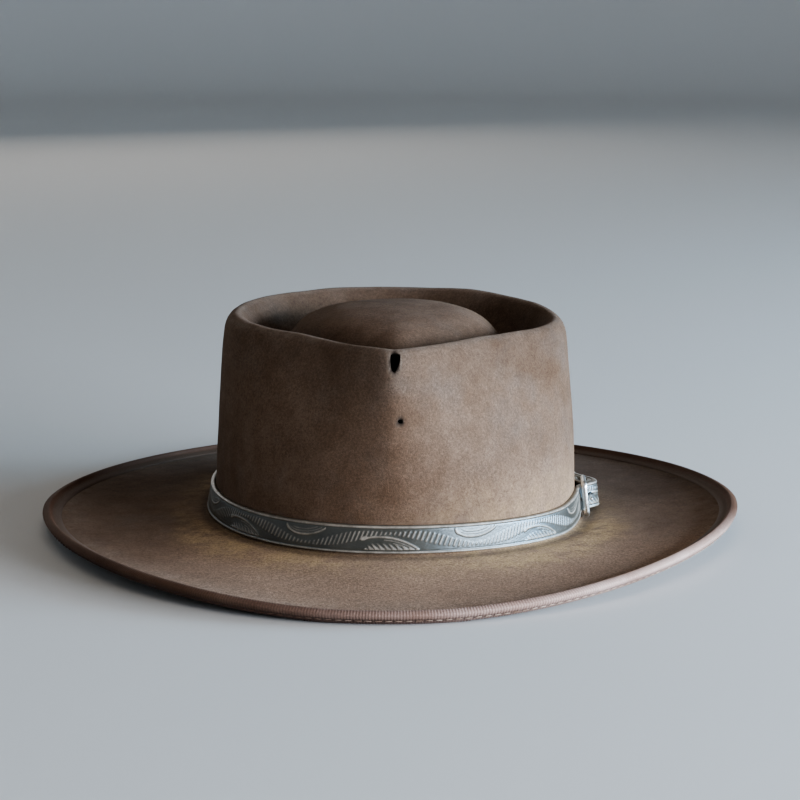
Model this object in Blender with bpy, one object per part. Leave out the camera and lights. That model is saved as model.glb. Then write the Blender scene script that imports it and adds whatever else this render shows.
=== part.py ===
# Felt hat with a telescope crown and a rolled brim: the felt body, the ribbon that binds its edge,
# the leather strap round the crown, and the strap's buckle and prong.
# Metres, +Z up. The hat faces -Y, and its buckle is at +X. The origin is on the surface that the hat
# rests on, under the middle of its brim.
from collections import namedtuple
from math import cos, pi, radians, sin

import bmesh
import bpy
import numpy as np
from mathutils import Matrix, Vector

# Felt
FELT = 0.0020                    # thickness of the felt
BRIM_HALF_WIDTH = 0.1586         # middle to where the edge starts to roll, at the sides
BRIM_HALF_LENGTH = 0.1760        # the same, to the front and to the back
BRIM_FULLNESS = 1.10             # over 1, the outline narrows sooner to its ends than an oval
FRONT_SWEEP = 0.0022             # how much sooner than evenly the edge rises from the front
BACK_SWEEP = -0.0011             # the same from the back, where it rises later
ROLL_RADIUS = 0.0036             # of the felt's upper face, where the edge rolls up
ROLL_ANGLE = radians(72)
CROWN_SHIFT = 0.0026             # the crown stands this much nearer the buckle's side of the brim
BASE_HALF_WIDTH = 0.0866         # crown at its foot
BASE_FRONT = 0.1037
BASE_BACK = 0.1000
RIM_HALF_WIDTH = 0.0752          # crest of the fold round the top of the crown
RIM_FRONT = 0.0942
RIM_BACK = 0.0800
SHOULDER = 0.0045                # how far the rounded fold stands out from its own crest
GROOVE_DEPTH = 0.0180            # from the fold's crest down to the groove round the dome
DOME_RISE = 0.0042               # middle of the dome above the fold's crest
KEEL_ROUNDING = 0.10             # how blunt the pinched front is, as a share of the half width

# Ribbon that binds the brim's edge
RIBBON = 0.0007
RIBBON_REACH = 0.0026            # past the start of the roll, on both faces of the felt
PRESSED = 0.00035                # how deep the edge is pressed flat where the hat rests

# Leather strap round the crown
STRAP = 0.0020
STRAP_HEIGHT = 0.0122
STRAP_BEVEL = 0.0005             # of its two outer edges
STRAP_LIFT = 0.0010              # its lower edge above the brim
BUCKLE_LIFT = 0.0024             # how much higher the strap runs at the buckle
BUCKLE_LIFT_REACH = 0.50         # turn round the crown, in radians, in which it comes down again
STRAP_TAIL = 0.0090              # end that is folded round the buckle's heel bar and tucked under
STRAP_FREE_END = 0.0300          # other end, from the heel bar to its tip
STRAP_SETTLE = 0.0090            # length in which a raised stretch comes down to the felt
FOLD_PLAY = 0.0010               # how loosely the fold goes round the heel bar

# Buckle
BUCKLE_LENGTH = 0.0178           # along the strap, outside
BUCKLE_WIRE = 0.0024
BUCKLE_FRONT_BAR = 0.0032        # the front bar is thicker than the rest of the wire
BUCKLE_CORNER = 0.0020           # radius of the wire's middle line at the corners
BUCKLE_BEHIND = -0.0045          # its middle behind the widest place of the crown
PRONG_WIRE = 0.0017
PRONG_TIP = 0.0016               # past the middle of the front bar

GAP = 0.0003                     # between pieces that touch
SLOT_PLAY = 0.0004               # round the prong, in the strap's slot and hole

# Segments
AROUND = 56
FRONT_CROWDING = 0.30            # how much closer the sections stand at the pinched front
ROLL_STEPS = 3
STRAP_STEP = 0.0070              # between two sections of the strap
WIRE_SIDES = 8
PRONG_SIDES = 6
CORNER_STEPS = 3

# Heights of the felt's upper face above the resting surface, at the four sides. Left is at -X.
Heights = namedtuple("Heights", "front left right back")
EDGE = Heights(front=0.0030, left=0.0076, right=0.0104, back=0.0030)
FOOT = Heights(front=0.0103, left=0.0088, right=0.0043, back=0.0103)
RIM = Heights(front=0.1000, left=0.1022, right=0.0998, back=0.1016)

# Brim from the rolled edge to the crown's foot. reach: 1 at the roll, 0 at the foot. sag: of the felt.
BrimRow = namedtuple("BrimRow", "reach sag")
BRIM_ROWS = (
    BrimRow(0.94, 0.10),
    BrimRow(0.80, 0.40),
    BrimRow(0.55, 0.60),
    BrimRow(0.30, 0.35),
    BrimRow(0.12, 0.10),
)

# Wall of the crown. rise: 0 at the brim, 1 at the fold's crest. bulge: of the shoulder, out from the
# crest's outline. spread: from there to the base's outline. keel: how far the front is pinched.
WallRow = namedtuple("WallRow", "rise bulge spread keel")
WALL_ROWS = (
    WallRow(0.000, 1.00, 1.40, 0.00),
    WallRow(0.008, 1.00, 1.12, 0.00),
    WallRow(0.030, 1.00, 1.00, 0.00),
    WallRow(0.150, 1.00, 0.80, 0.01),
    WallRow(0.350, 1.00, 0.70, 0.07),
    WallRow(0.560, 1.00, 0.53, 0.24),
    WallRow(0.760, 1.00, 0.33, 0.43),
    WallRow(0.890, 1.00, 0.18, 0.55),
    WallRow(0.950, 0.93, 0.08, 0.60),
    WallRow(0.985, 0.60, 0.02, 0.63),
)

# Top of the crown. share: of the fold's outline. drop: of the groove's depth below the crest.
# swell: of the dome's rise above it.
TopRow = namedtuple("TopRow", "share drop swell keel")
TOP_ROWS = (
    TopRow(1.000, 0.00, 0.00, 0.64),
    TopRow(0.950, 0.08, 0.00, 0.64),
    TopRow(0.912, 0.30, 0.00, 0.62),
    TopRow(0.870, 0.68, 0.00, 0.60),
    TopRow(0.810, 0.97, 0.00, 0.56),
    TopRow(0.740, 0.96, 0.00, 0.52),
    TopRow(0.660, 0.60, 0.00, 0.46),
    TopRow(0.560, 0.17, 0.00, 0.38),
    TopRow(0.410, 0.00, 0.34, 0.28),
    TopRow(0.220, 0.00, 0.84, 0.14),
)

# Holes worn through the pinched front. below: their middle under the fold's crest.
Hole = namedtuple("Hole", "half_width half_height across below lean")
WORN_SLOT = Hole(half_width=0.0020, half_height=0.0045, across=-0.0004, below=0.0059, lean=radians(9))
PIN_HOLE = Hole(half_width=0.0017, half_height=0.0013, across=0.0022, below=0.0308, lean=0.0)

# Where the strap's middle line runs over and round the heel bar, measured from that bar's middle line.
FOLD_RADIUS = BUCKLE_WIRE / 2 + FOLD_PLAY + STRAP / 2
FLAT = GAP + STRAP / 2                       # middle of the strap out of the felt, where it lies on it
BAR_OUT = FLAT + FOLD_RADIUS                 # middle of both bars out of the felt
DOUBLED = FLAT + 2 * FOLD_RADIUS             # middle of the layer that lies over the heel bar
LAYER = STRAP + GAP                          # from the middle of one layer to the next
BAR_SPAN = BUCKLE_LENGTH - BUCKLE_WIRE       # from the front bar's middle to the heel bar's
RAIL_SPAN = STRAP_HEIGHT + 2 * GAP + BUCKLE_WIRE    # from the lower rail's middle to the upper rail's


def clear_scene():
    for item in list(bpy.data.objects):
        bpy.data.objects.remove(item, do_unlink=True)


def plain_material(name, colour, roughness, metallic=0.0):
    material = bpy.data.materials.new(name)
    material.use_nodes = True
    shader = material.node_tree.nodes["Principled BSDF"]
    shader.inputs["Base Color"].default_value = (*colour, 1.0)
    shader.inputs["Roughness"].default_value = roughness
    shader.inputs["Metallic"].default_value = metallic
    return material


def add_object(name, bm, material=None):
    bmesh.ops.recalc_face_normals(bm, faces=bm.faces)
    mesh = bpy.data.meshes.new(name)
    bm.to_mesh(mesh)
    bm.free()
    mesh.shade_smooth()
    mesh.set_sharp_from_angle(angle=radians(40))
    if material:
        mesh.materials.append(material)
    item = bpy.data.objects.new(name, mesh)
    bpy.context.collection.objects.link(item)
    return item


def ring_faces(bm, loops):
    """Joins closed loops of vertices, each to the next."""
    for lower, upper in zip(loops, loops[1:]):
        for step in range(len(lower)):
            following = (step + 1) % len(lower)
            bm.faces.new((lower[step], lower[following], upper[following], upper[step]))


def cut(item, cutter):
    """Takes the cutter's shape out of an object. The cutter stays as a hidden guide."""
    cutter.hide_render = True
    cutter.display_type = "WIRE"
    boolean = item.modifiers.new("cut_" + cutter.name, "BOOLEAN")
    boolean.operation = "DIFFERENCE"
    boolean.solver = "EXACT"
    boolean.object = cutter


def blend(low, high, share):
    return low + (high - low) * share


def around(heights, angle):
    """Height at an angle, which is 0 at the front and a quarter turn at the right."""
    side = blend(heights.left, heights.right, 0.5 + 0.5 * sin(angle))
    end = heights.front if cos(angle) > 0 else heights.back
    return blend(side, end, cos(angle) ** 2)


def oval(angle, half_width, front, back, keel=0.0, fullness=1.0):
    """Place on an outline seen from above. A keel pinches its front to an edge."""
    along = abs(cos(angle)) ** fullness
    if cos(angle) <= 0:
        return half_width * sin(angle), back * along
    pinch = (sin(angle) ** 2 + KEEL_ROUNDING ** 2) ** 0.5 - KEEL_ROUNDING
    return half_width * sin(angle), -front * (along - keel * pinch * cos(angle) ** 2)


def section_angles():
    """Angles all round, closer together at the front."""
    turns = [2 * pi * step / AROUND for step in range(AROUND)]
    return [turn - FRONT_CROWDING * sin(turn) for turn in turns]


def brim_outline(angle, grow=0.0):
    length = BRIM_HALF_LENGTH + grow
    return oval(angle, BRIM_HALF_WIDTH + grow, length, length, fullness=BRIM_FULLNESS)


def edge_height(angle):
    """Upper face where the roll starts: level where the hat rests, higher at the sides."""
    sweep = FRONT_SWEEP if cos(angle) > 0 else BACK_SWEEP
    return max(around(EDGE, angle) + sweep * sin(2 * angle) ** 2 - PRESSED, min(EDGE.front, EDGE.back))


def roll_section(angle):
    """Places on the felt's upper face from the edge's crest down to the start of the roll."""
    points = []
    for step in range(ROLL_STEPS, -1, -1):
        bend = ROLL_ANGLE * step / ROLL_STEPS
        x, y = brim_outline(angle, ROLL_RADIUS * sin(bend))
        points.append((x, y, edge_height(angle) + ROLL_RADIUS * (1 - cos(bend))))
    return points


def wall_point(angle, row):
    """Place on the outer face of the crown's wall."""
    bulge = row.bulge * SHOULDER
    x, y = oval(
        angle,
        blend(RIM_HALF_WIDTH + bulge, BASE_HALF_WIDTH, row.spread),
        blend(RIM_FRONT + bulge, BASE_FRONT, row.spread),
        blend(RIM_BACK + bulge, BASE_BACK, row.spread),
        keel=row.keel,
    )
    return np.array((x + CROWN_SHIFT, y, blend(around(FOOT, angle), around(RIM, angle), row.rise)))


def brim_point(angle, reach, sag):
    outer = np.array((*brim_outline(angle), edge_height(angle)))
    place = blend(wall_point(angle, WALL_ROWS[0]), outer, reach)
    place[2] -= sag * FELT
    return place


def crest_level():
    return (RIM.front + RIM.left + RIM.right + RIM.back) / 4


def top_point(angle, row):
    x, y = oval(angle, RIM_HALF_WIDTH * row.share, RIM_FRONT * row.share, RIM_BACK * row.share, keel=row.keel)
    crest = blend(crest_level(), around(RIM, angle), row.share)
    return np.array((x + CROWN_SHIFT, y, crest - row.drop * GROOVE_DEPTH + row.swell * DOME_RISE))


def skin_rows(maker, rows):
    return [[maker(angle, row) for angle in section_angles()] for row in rows]


def edge_rows():
    """The roll as rows all round, from its crest to its start."""
    return list(zip(*[roll_section(angle) for angle in section_angles()]))


def unit(vectors):
    return vectors / np.linalg.norm(vectors, axis=-1, keepdims=True)


def grid_normals(grid):
    """Unit vectors out of the upper face, from each place's neighbours."""
    along = np.roll(grid, -1, axis=1) - np.roll(grid, 1, axis=1)
    across = np.gradient(grid, axis=0)
    return unit(np.cross(along, across))


def hole_cutter(name, hole):
    """A flattened bar that goes through the front wall and ends in the hollow behind it."""
    bm = bmesh.new()
    bmesh.ops.create_cone(bm, cap_ends=True, segments=10, radius1=1.0, radius2=1.0, depth=1.0)
    outer = SHOULDER + max(BASE_FRONT - RIM_FRONT, 0.0)
    length = outer + FELT
    shape = Matrix.Diagonal((hole.half_width, hole.half_height, length, 1.0))
    level = Matrix.Rotation(pi / 2, 4, "X")
    lean = Matrix.Rotation(hole.lean, 4, "Y")
    middle = -RIM_FRONT - outer + length / 2
    place = Matrix.Translation((CROWN_SHIFT + hole.across, middle, RIM.front - hole.below))
    bm.transform(place @ lean @ level @ shape)
    return add_object(name, bm)


def build_felt():
    """Brim and crown blocked from one felt, with the two holes worn in its front."""
    rows = edge_rows()
    rows += skin_rows(lambda angle, row: brim_point(angle, row.reach, row.sag), BRIM_ROWS)
    rows += skin_rows(wall_point, WALL_ROWS)
    rows += skin_rows(top_point, TOP_ROWS)
    outer = np.array(rows)
    inner = outer - FELT * grid_normals(outer)
    bm = bmesh.new()
    skins = [[[bm.verts.new(point) for point in row] for row in grid] for grid in (outer, inner)]
    ring_faces(bm, (skins[0][0], skins[1][0]))
    for loops, under in zip(skins, (0.0, FELT)):
        ring_faces(bm, loops)
        apex = bm.verts.new((CROWN_SHIFT, 0.0, crest_level() + DOME_RISE - under))
        for step in range(AROUND):
            bm.faces.new((loops[-1][step], loops[-1][(step + 1) % AROUND], apex))
    felt = add_object("felt_body", bm, plain_material("felt", (0.150, 0.100, 0.072), 0.92))
    cut(felt, hole_cutter("worn_slot_cutter", WORN_SLOT))
    cut(felt, hole_cutter("pin_hole_cutter", PIN_HOLE))


def build_binding():
    """Ribbon folded over the rolled edge, a layer on each face of the felt, pressed flat where it rests."""
    reach = 1.0 - RIBBON_REACH / (BRIM_HALF_WIDTH - BASE_HALF_WIDTH)
    rows = edge_rows()
    rows.append([brim_point(angle, reach, BRIM_ROWS[0].sag) for angle in section_angles()])
    upper = np.array(rows)
    normals = grid_normals(upper)
    lower = upper - FELT * normals
    along = np.roll(upper[0], -1, axis=0) - np.roll(upper[0], 1, axis=0)
    tip = -unit(np.cross(normals[0], along))
    near, far = GAP, GAP + RIBBON
    inward = range(len(rows))
    outward = inward[::-1]
    face = [upper[row] + far * normals[row] for row in outward]
    face += [upper[0] + far * (0.6 * normals[0] + 0.8 * tip), lower[0] + far * (0.8 * tip - 0.6 * normals[0])]
    face += [lower[row] - far * normals[row] for row in inward]
    lining = [upper[row] + near * normals[row] for row in outward[:-1]]
    lining += [upper[0] + near * (normals[0] + tip), lower[0] + near * (tip - normals[0])]
    lining += [lower[row] - near * normals[row] for row in inward[1:]]
    section = np.array(face + lining[::-1])
    low = section[..., 2] < PRESSED
    section[..., 2][low] = 0.0
    bm = bmesh.new()
    loops = [[bm.verts.new(point) for point in row] for row in section]
    ring_faces(bm, loops + loops[:1])
    add_object("brim_binding", bm, plain_material("ribbon", (0.115, 0.085, 0.072), 0.75))


def wall_at(angle, height):
    """Place on the wall's outer face at a height above the brim, read between two sections."""
    rise = height / (around(RIM, angle) - around(FOOT, angle))
    lower, upper = next(pair for pair in zip(WALL_ROWS, WALL_ROWS[1:]) if pair[1].rise >= rise)
    share = (rise - lower.rise) / (upper.rise - lower.rise)
    return blend(wall_point(angle, lower), wall_point(angle, upper), share)


def strap_lift(angle):
    """Lower edge of the strap above the brim: a little higher by the buckle."""
    away = (angle - angle_behind(BUCKLE_BEHIND) + pi) % (2 * pi) - pi
    return STRAP_LIFT + BUCKLE_LIFT * max(0.0, 1 - (away / BUCKLE_LIFT_REACH) ** 2) ** 2


def outward(angle):
    """Level unit vector out of the wall, at the middle of the strap's height."""
    middle = strap_lift(angle) + STRAP_HEIGHT / 2
    nudge = radians(1.0)
    run = wall_at(angle + nudge, middle) - wall_at(angle - nudge, middle)
    return unit(np.array((run[1], -run[0], 0.0)))


def angle_behind(distance, lap=0):
    """Angle of a place so far behind the widest place on the buckle's side."""
    return pi / 2 + distance / BASE_FRONT + 2 * pi * lap


def strap_course():
    """The strap's course as (angle, middle out of the felt, share of its height). It starts under the
    heel bar, folds back round it, runs round the crown, passes under the front bar, and ends outside."""
    heel = BUCKLE_BEHIND + BAR_SPAN / 2
    front = BUCKLE_BEHIND - BAR_SPAN / 2
    settled = heel + STRAP_TAIL + STRAP_SETTLE

    def over_heel(clear):
        """Down from the heel bar onto the tail, and down from the tail onto the felt. A layer that lies
        clear of this one comes down a little later."""
        later = 0.5 * clear
        return [
            (heel, DOUBLED + clear),
            (heel + STRAP_TAIL * 0.50 + later, blend(FLAT + LAYER, DOUBLED, 0.70) + clear),
            (heel + STRAP_TAIL * 1.05 + later, FLAT + LAYER * 1.04 + clear),
            (heel + STRAP_TAIL + STRAP_SETTLE * 0.55 + later, FLAT + LAYER * 0.30 + clear),
            (settled, FLAT + clear),
        ]

    course = [(angle_behind(heel + STRAP_TAIL * share), FLAT, 1.0) for share in (0.95, 0.5, 0.0)]
    for bend in (45, 90, 135):
        reach = FOLD_RADIUS * sin(radians(bend))
        rise = FOLD_RADIUS * (1 - cos(radians(bend)))
        course.append((angle_behind(heel - reach), FLAT + rise, 1.0))
    course += [(angle_behind(place), out, 1.0) for place, out in over_heel(0.0)]

    start = angle_behind(settled)
    end = angle_behind(front - STRAP_SETTLE, lap=1)
    count = round((end - start) * BASE_HALF_WIDTH / STRAP_STEP)
    course += [(blend(start, end, step / count), FLAT, 1.0) for step in range(1, count + 1)]

    clear_fold = FOLD_RADIUS + LAYER
    rising = [
        (front, FLAT),
        (front + BAR_SPAN * 0.20, FLAT + 0.12 * DOUBLED),
        (heel - clear_fold * 0.66, BAR_OUT + clear_fold * 0.80),
        (heel - clear_fold * 0.30, BAR_OUT + clear_fold * 0.98),
    ]
    rising += over_heel(LAYER)
    course += [(angle_behind(place, lap=1), out, 1.0) for place, out in rising]
    for left, height in ((0.15, 1.0), (0.05, 0.82), (0.0, 0.50)):
        place = heel + STRAP_FREE_END * (1 - left)
        course.append((angle_behind(place, lap=1), FLAT + LAYER, height))
    return course


def build_strap():
    """Tooled leather strap, with a slot for the prong's eye and a hole for the prong."""
    edges = []
    for angle, out, share in strap_course():
        lift = strap_lift(angle)
        bottom = wall_at(angle, lift) + out * outward(angle)
        top = wall_at(angle, lift + STRAP_HEIGHT) + out * outward(angle)
        edges.append((blend(top, bottom, 0.5 + share / 2), blend(bottom, top, 0.5 + share / 2)))
    edges = np.array(edges)
    run = np.gradient(edges.mean(axis=1), axis=0)
    faces = unit(np.stack((run[:, 1], -run[:, 0], np.zeros(len(run))), axis=1))
    bm = bmesh.new()
    loops = []
    for (bottom, top), face in zip(edges, faces):
        half = face * STRAP / 2
        bevel = (top - bottom) * STRAP_BEVEL / STRAP_HEIGHT
        section = (bottom - half, top - half, top + half / 2, top + half - bevel,
                   bottom + half + bevel, bottom + half / 2)
        loops.append([bm.verts.new(point) for point in section])
    ring_faces(bm, loops)
    bm.faces.new(loops[0])
    bm.faces.new(loops[-1])
    strap = add_object("hatband", bm, plain_material("tooled_leather", (0.14, 0.13, 0.13), 0.45))
    width = PRONG_WIRE + 2 * SLOT_PLAY
    frame = buckle_frame_matrix()
    bm = bmesh.new()
    radius = FOLD_RADIUS + STRAP / 2 + GAP / 2
    bmesh.ops.create_cone(bm, cap_ends=True, segments=16, radius1=radius, radius2=radius, depth=width)
    bm.transform(frame @ Matrix.Translation((BAR_SPAN / 2, 0, 0)) @ Matrix.Rotation(pi / 2, 4, "X"))
    cut(strap, add_object("prong_slot_cutter", bm))
    bm = bmesh.new()
    bmesh.ops.create_cube(bm, size=1.0)
    stem_out = BUCKLE_WIRE / 2 + GAP + PRONG_WIRE / 2
    start, end = -BAR_SPAN * 0.30, BAR_SPAN / 2 - FOLD_RADIUS
    place = Matrix.Translation(((start + end) / 2, 0, stem_out))
    bm.transform(frame @ place @ Matrix.Diagonal((end - start, width, width, 1.0)))
    cut(strap, add_object("prong_hole_cutter", bm))


def buckle_frame_matrix():
    """The buckle's own axes: X along the strap to the back, Y up, Z out of the crown."""
    ends = []
    for side in (-1, 1):
        angle = angle_behind(BUCKLE_BEHIND + side * BAR_SPAN / 2)
        middle = wall_at(angle, strap_lift(angle) + STRAP_HEIGHT / 2)
        ends.append(Vector(middle + BAR_OUT * outward(angle)))
    angle = angle_behind(BUCKLE_BEHIND)
    lift = strap_lift(angle)
    up = Vector(wall_at(angle, lift + STRAP_HEIGHT) - wall_at(angle, lift))
    along = (ends[1] - ends[0]).normalized()
    out = along.cross(up).normalized()
    up = out.cross(along)
    place = (ends[0] + ends[1]) / 2
    return Matrix.Translation(place) @ Matrix((along, up, out)).transposed().to_4x4()


def wire(name, path, upright, radius, sides, closed, material):
    """Round wire along a path of (place, sideways) pairs in the buckle's axes. A longer sideways
    vector makes it thicker there."""
    bm = bmesh.new()
    loops = []
    for place, sideways in path:
        ring = []
        for step in range(sides):
            turn = 2 * pi * (step + 0.5) / sides
            rise = upright * sideways.length
            ring.append(bm.verts.new(place + radius * (cos(turn) * sideways + sin(turn) * rise)))
        loops.append(ring)
    if closed:
        ring_faces(bm, loops + loops[:1])
    else:
        ring_faces(bm, loops)
        bm.faces.new(loops[0])
        bm.faces.new(loops[-1])
    bm.transform(buckle_frame_matrix())
    add_object(name, bm, material)


def build_buckle():
    """Wire frame with rounded corners. The strap's folded end holds its heel bar."""
    half_length = BAR_SPAN / 2
    half_height = RAIL_SPAN / 2
    path = []
    for corner, (x, y) in enumerate(((1, 1), (-1, 1), (-1, -1), (1, -1))):
        centre = Vector((x * (half_length - BUCKLE_CORNER), y * (half_height - BUCKLE_CORNER), 0))
        for step in range(CORNER_STEPS + 1):
            turn = pi / 2 * (corner + step / CORNER_STEPS)
            away = Vector((cos(turn), sin(turn), 0))
            thickness = BUCKLE_FRONT_BAR / BUCKLE_WIRE if away.x < -0.1 else 1.0
            path.append((centre + BUCKLE_CORNER * away, thickness * away))
    metal = plain_material("buckle_metal", (0.62, 0.64, 0.63), 0.30, metallic=1.0)
    wire("buckle_frame", path, Vector((0, 0, 1)), BUCKLE_WIRE / 2, WIRE_SIDES, True, metal)


def build_prong():
    """Prong with an eye round the heel bar. It comes out through the strap and lies on the front bar."""
    radius = BUCKLE_WIRE / 2 + GAP + PRONG_WIRE / 2
    heel = BAR_SPAN / 2
    path = []
    for step in range(9):
        turn = radians(blend(-200, 90, step / 8))
        away = Vector((cos(turn), 0, sin(turn)))
        path.append((Vector((heel, 0, 0)) + radius * away, away))
    over_bar = BUCKLE_FRONT_BAR / 2 + GAP + PRONG_WIRE / 2
    for place, out in ((heel - 2 * radius, radius), (-heel, over_bar), (-heel - PRONG_TIP, over_bar)):
        path.append((Vector((place, 0, out)), Vector((0, 0, 1))))
    metal = plain_material("prong_metal", (0.60, 0.62, 0.61), 0.30, metallic=1.0)
    wire("buckle_prong", path, Vector((0, 1, 0)), PRONG_WIRE / 2, PRONG_SIDES, False, metal)


clear_scene()
build_felt()
build_binding()
build_strap()
build_buckle()
build_prong()
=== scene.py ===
from collections import namedtuple
from math import cos, pi, radians, sin

import bmesh
import bpy
import numpy as np
from mathutils import Matrix, Vector


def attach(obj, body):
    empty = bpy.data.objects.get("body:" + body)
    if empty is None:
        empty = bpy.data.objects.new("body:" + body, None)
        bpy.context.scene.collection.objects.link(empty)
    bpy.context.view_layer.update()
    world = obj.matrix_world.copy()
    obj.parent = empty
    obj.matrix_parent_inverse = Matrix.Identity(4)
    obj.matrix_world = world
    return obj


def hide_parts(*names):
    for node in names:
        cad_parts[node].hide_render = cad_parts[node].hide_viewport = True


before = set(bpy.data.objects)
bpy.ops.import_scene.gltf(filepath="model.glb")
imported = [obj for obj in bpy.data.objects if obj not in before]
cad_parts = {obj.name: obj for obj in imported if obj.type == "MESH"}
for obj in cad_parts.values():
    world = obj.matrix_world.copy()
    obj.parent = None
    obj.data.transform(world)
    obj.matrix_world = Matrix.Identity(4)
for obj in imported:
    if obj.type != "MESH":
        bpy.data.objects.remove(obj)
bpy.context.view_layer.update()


# Felt body: one piece of brown fur felt, blocked into a telescope crown with a pinched front and a wide
# brim whose edge rolls up. It is worn pale on the fold, dusty beside the strap, and worn through in front.
# Its colour also holds painted light and shade: a painted highlight down the pinched front edge, paler felt
# where light falls on the front of the brim and the lower right wall, and painted shade inside the crown,
# round the holes, at the strap's foot and over the back of the brim. It also darkens towards the top of the
# wall.
# Its form goes through the rows that the solid is made from, with smooth curves between them.
FELT = 0.0020
CROWN_SHIFT = 0.0026                         # the crown stands this far right of the brim's middle
BRIM_HALF_WIDTH, BRIM_HALF_LENGTH, BRIM_FULLNESS = 0.1586, 0.1760, 1.10
FRONT_SWEEP, BACK_SWEEP = 0.0022, -0.0011
ROLL_RADIUS, ROLL_ANGLE = 0.0036, radians(72)
PRESSED = 0.00035
BASE = (0.0866, 0.1037, 0.1000)              # half width, front and back of the crown's foot
RIM = (0.0752, 0.0942, 0.0800)               # the same of the fold's crest
SHOULDER = 0.0045
GROOVE_DEPTH, DOME_RISE = 0.0180, 0.0042
KEEL_ROUNDING = 0.10
EDGE_HEIGHT = (0.0030, 0.0076, 0.0104, 0.0030)    # front, left, right, back
FOOT_HEIGHT = (0.0103, 0.0088, 0.0043, 0.0103)
RIM_HEIGHT = (0.1000, 0.1022, 0.0998, 0.1016)
CREST = sum(RIM_HEIGHT) / 4
BRIM_ROWS = ((0.94, 0.10), (0.80, 0.40), (0.55, 0.60), (0.30, 0.35), (0.12, 0.10))    # reach, sag
WALL_ROWS = (                                # rise, bulge, spread, keel
    (0.000, 1.00, 1.40, 0.00), (0.008, 1.00, 1.12, 0.00), (0.030, 1.00, 1.00, 0.00),
    (0.150, 1.00, 0.80, 0.01), (0.350, 1.00, 0.70, 0.07), (0.560, 1.00, 0.53, 0.24),
    (0.760, 1.00, 0.33, 0.43), (0.890, 1.00, 0.18, 0.55), (0.950, 0.93, 0.08, 0.60),
    (0.985, 0.60, 0.02, 0.63),
)
TOP_ROWS = (                                 # share, drop, swell, keel
    (1.000, 0.00, 0.00, 0.64), (0.950, 0.08, 0.00, 0.64), (0.912, 0.30, 0.00, 0.62),
    (0.870, 0.68, 0.00, 0.60), (0.810, 0.97, 0.00, 0.56), (0.740, 0.96, 0.00, 0.52),
    (0.660, 0.60, 0.00, 0.46), (0.560, 0.17, 0.00, 0.38), (0.410, 0.00, 0.34, 0.28),
    (0.220, 0.00, 0.84, 0.14), (0.000, 0.00, 1.00, 0.00),
)
FELT_COLUMNS, FELT_ROW_SPACING, ROLL_STEPS = 430, 0.0020, 4
SLOW_WAVES, SLOW_HEIGHT = (0.085, 0.045), 0.00055
FINE_WAVES, FINE_HEIGHT = (0.022, 0.014), 0.00014
# The last field is how far out from a hole its painted shade reaches, where 1 is the hole's edge.
Hole = namedtuple("Hole", "name across height half_width half_height lean taper dent soiled_reach")
HOLES = (
    Hole("worn_slot", CROWN_SHIFT - 0.0002, 0.0948, 0.0019, 0.0039, radians(7), 0.42, 0.0006, 1.5),
    Hole("pinhole", CROWN_SHIFT + 0.0022, 0.0692, 0.0011, 0.0009, 0.0, 0.0, 0.0010, 2.6),
)
DENT_WIDE, DENT_TALL, DENT_SOFTNESS = 2.1, 1.7, 1.6
LIP_PLACE, LIP_WIDE, LIP_TALL, LIP_SHARE = 1.7, 0.5, 1.1, 0.35
STAINS = (                                   # on the brim: across, along, size, strength
    (-0.076, -0.076, 0.026, 1.35), (-0.050, -0.098, 0.026, 0.55), (0.074, -0.078, 0.034, 1.60),
    (0.112, -0.048, 0.030, 0.50), (0.052, -0.100, 0.024, 0.45), (0.030, 0.118, 0.030, 0.50),
    (-0.085, 0.060, 0.028, 0.50),
)


def blend(low, high, share):
    return low + (high - low) * share


def hat_angles(count):
    """Angles all round from the front, closer together at the pinched front."""
    turns = np.arange(count) * 2 * pi / count
    return turns - 0.30 * np.sin(turns)


def around(heights, angle):
    """Height at an angle, from the heights at the front, left, right and back."""
    front, left, right, back = heights
    side = blend(left, right, 0.5 + 0.5 * np.sin(angle))
    return blend(side, np.where(np.cos(angle) > 0, front, back), np.cos(angle) ** 2)


def oval(angle, half_width, front, back, keel=0.0, fullness=1.0):
    """Plan of a row: an oval, whose front a keel pinches to an upright edge."""
    along = np.abs(np.cos(angle)) ** fullness
    pinch = np.sqrt(np.sin(angle) ** 2 + KEEL_ROUNDING ** 2) - KEEL_ROUNDING
    ahead = -front * (along - keel * pinch * np.cos(angle) ** 2)
    return half_width * np.sin(angle), np.where(np.cos(angle) > 0, ahead, back * along)


def places(x, y, z):
    return np.stack(np.broadcast_arrays(x, y, z), axis=-1)


def edge_height(angle):
    sweep = np.where(np.cos(angle) > 0, FRONT_SWEEP, BACK_SWEEP)
    height = around(EDGE_HEIGHT, angle) + sweep * np.sin(2 * angle) ** 2 - PRESSED
    return np.maximum(height, EDGE_HEIGHT[0])


def brim_outline(angle, grow=0.0):
    length = BRIM_HALF_LENGTH + grow
    return oval(angle, BRIM_HALF_WIDTH + grow, length, length, fullness=BRIM_FULLNESS)


def roll_row(angle, bend):
    x, y = brim_outline(angle, ROLL_RADIUS * sin(bend))
    return places(x, y, edge_height(angle) + ROLL_RADIUS * (1 - cos(bend)))


def wall_row(angle, rise, bulge, spread, keel):
    sizes = [blend(rim + bulge * SHOULDER, base, spread) for rim, base in zip(RIM, BASE)]
    x, y = oval(angle, *sizes, keel=keel)
    return places(x + CROWN_SHIFT, y, blend(around(FOOT_HEIGHT, angle), around(RIM_HEIGHT, angle), rise))


def brim_row(angle, reach, sag):
    row = blend(wall_row(angle, *WALL_ROWS[0]), roll_row(angle, 0.0), reach)
    row[:, 2] -= sag * FELT
    return row


def top_row(angle, share, drop, swell, keel):
    x, y = oval(angle, *[share * size for size in RIM], keel=keel)
    crest = blend(CREST, around(RIM_HEIGHT, angle), share)
    return places(x + CROWN_SHIFT, y, crest - drop * GROOVE_DEPTH + swell * DOME_RISE)


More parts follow.
